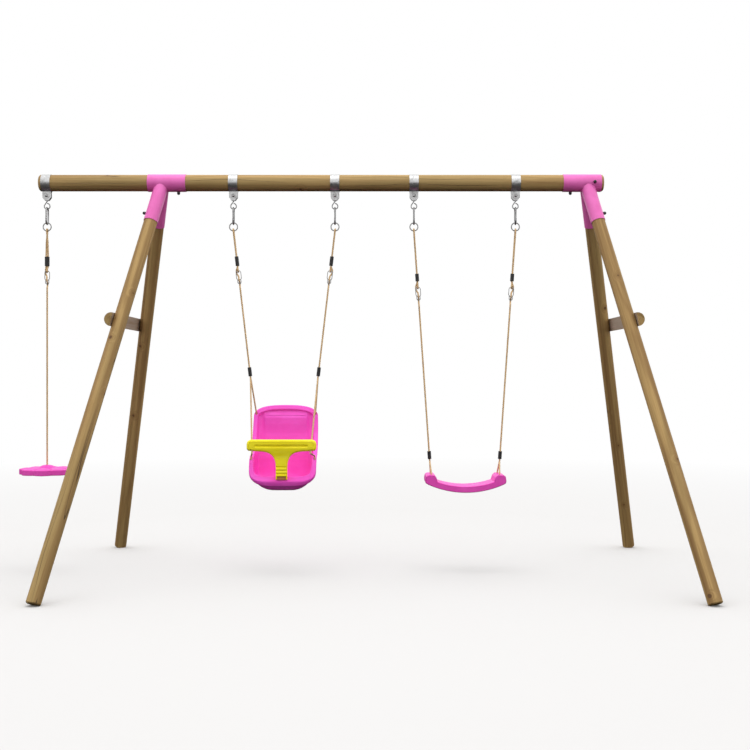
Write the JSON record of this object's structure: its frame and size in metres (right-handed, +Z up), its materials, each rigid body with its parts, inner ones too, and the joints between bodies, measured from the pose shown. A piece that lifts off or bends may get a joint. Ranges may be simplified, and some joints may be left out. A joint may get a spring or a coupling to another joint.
{
  "type": "swing set",
  "caption": "Garden swing set: a round timber beam on two A-frames, with a button swing, a bucket baby swing with a T-bar and a flat single swing, all hung on ropes.",
  "frame": {"origin": "on the ground, under the middle of the set's outline", "axes": "+X right along the beam, +Y to the back, +Z up"},
  "size_m": [3.5864, 1.919, 2.188],
  "materials": {
    "pine": "planed round pine, pressure treated, straight grain",
    "pink_steel": "satin powder coat",
    "pink_plastic": "satin moulded plastic",
    "yellow_plastic": "satin moulded plastic",
    "galvanised": "zinc plated",
    "black_plastic": "moulded nylon",
    "rope": "three-strand laid synthetic hemp"
  },
  "bodies": {
    "frame": {"beam": "pine", "leg_front_left": "pine", "leg_back_left": "pine", "leg_front_right": "pine", "leg_back_right": "pine", "bracket_left": "pink_steel", "bracket_right": "pink_steel", "bracket_screws": "galvanised", "screw_caps": "black_plastic", "brace_left": "pine", "brace_right": "pine", "brace_screws": "galvanised", "button_clamp": "galvanised", "baby_clamps": "galvanised", "single_clamps": "galvanised", "clamp_bolts": "galvanised", "clamp_nuts": "galvanised", "clamp_bushes": "black_plastic", "baby_links": "galvanised", "single_links": "galvanised"},
    "button_link": {"button_link": "galvanised"},
    "button_swing": {"button_hook": "galvanised", "button_gate_pin": "galvanised", "button_ring": "galvanised", "button_rope": "rope", "button_sleeve": "black_plastic", "button_adjuster": "galvanised"},
    "button_gate": {"button_gate": "galvanised"},
    "button_seat": {"button_seat": "pink_plastic"},
    "baby_swing": {"baby_hooks": "galvanised", "baby_gate_pins": "galvanised", "baby_rings": "galvanised", "baby_ropes": "rope", "baby_upper_sleeves": "black_plastic", "baby_adjusters": "galvanised", "baby_lower_sleeves": "black_plastic"},
    "baby_gate_left": {"baby_gate_left": "galvanised"},
    "baby_gate_right": {"baby_gate_right": "galvanised"},
    "baby_seat": {"baby_seat_shell": "pink_plastic", "baby_seat_ropes": "rope"},
    "baby_t_bar": {"baby_t_bar": "yellow_plastic"},
    "single_swing": {"single_hooks": "galvanised", "single_gate_pins": "galvanised", "single_rings": "galvanised", "single_ropes": "rope", "single_upper_sleeves": "black_plastic", "single_adjusters": "galvanised", "single_lower_sleeves": "black_plastic"},
    "single_gate_left": {"single_gate_left": "galvanised"},
    "single_gate_right": {"single_gate_right": "galvanised"},
    "single_seat": {"single_seat": "pink_plastic", "single_seat_ropes": "rope"}
  },
  "joints": [
    {"name": "button_sway", "type": "hinge", "parent": "frame", "child": "button_link", "pos_m": [-1.645, 0, 2.0706], "axis": [0, 1, 0], "range_deg": [-15, 25]},
    {"name": "button_swing", "type": "hinge", "parent": "button_link", "child": "button_swing", "pos_m": [-1.645, 0, 1.9975], "axis": [1, 0, 0], "range_deg": [-45, 45]},
    {"name": "button_spin", "type": "hinge", "parent": "button_swing", "child": "button_seat", "pos_m": [-1.645, 0, 0.56], "axis": [0, 0, 1], "continuous": true},
    {"name": "baby_swing", "type": "hinge", "parent": "frame", "child": "baby_swing", "pos_m": [-0.341, 0, 1.9975], "axis": [1, 0, 0], "range_deg": [-45, 45]},
    {"name": "baby_seat_tilt", "type": "hinge", "parent": "baby_swing", "child": "baby_seat", "pos_m": [-0.341, 0, 1.068], "axis": [1, 0, 0], "range_deg": [-15, 15]},
    {"name": "t_bar_slide", "type": "slide", "parent": "baby_seat", "child": "baby_t_bar", "axis": [0, 0.4579, 0.889], "range_m": [0, 0.16]},
    {"name": "single_swing", "type": "hinge", "parent": "frame", "child": "single_swing", "pos_m": [0.651, 0, 1.9975], "axis": [1, 0, 0], "range_deg": [-45, 45]},
    {"name": "single_seat_tilt", "type": "hinge", "parent": "single_swing", "child": "single_seat", "pos_m": [0.651, 0, 0.613], "axis": [1, 0, 0], "range_deg": [-20, 20]},
    {"name": "button_gate_open", "type": "hinge", "parent": "button_swing", "child": "button_gate", "pos_m": [-1.645, -0.0205, 1.9436], "axis": [-1, 0, 0], "range_deg": [0, 27], "stiffness_Nm_per_rad": 0.02, "springref_deg": -20.05},
    {"name": "baby_gate_left_open", "type": "hinge", "parent": "baby_swing", "child": "baby_gate_left", "pos_m": [-0.62, -0.0205, 1.9436], "axis": [-1, 0, 0], "range_deg": [0, 27], "stiffness_Nm_per_rad": 0.02, "springref_deg": -20.05},
    {"name": "baby_gate_right_open", "type": "hinge", "parent": "baby_swing", "child": "baby_gate_right", "pos_m": [-0.062, -0.0205, 1.9436], "axis": [-1, 0, 0], "range_deg": [0, 27], "stiffness_Nm_per_rad": 0.02, "springref_deg": -20.05},
    {"name": "single_gate_left_open", "type": "hinge", "parent": "single_swing", "child": "single_gate_left", "pos_m": [0.372, -0.0205, 1.9436], "axis": [-1, 0, 0], "range_deg": [0, 27], "stiffness_Nm_per_rad": 0.02, "springref_deg": -20.05},
    {"name": "single_gate_right_open", "type": "hinge", "parent": "single_swing", "child": "single_gate_right", "pos_m": [0.93, -0.0205, 1.9436], "axis": [-1, 0, 0], "range_deg": [0, 27], "stiffness_Nm_per_rad": 0.02, "springref_deg": -20.05}
  ]
}
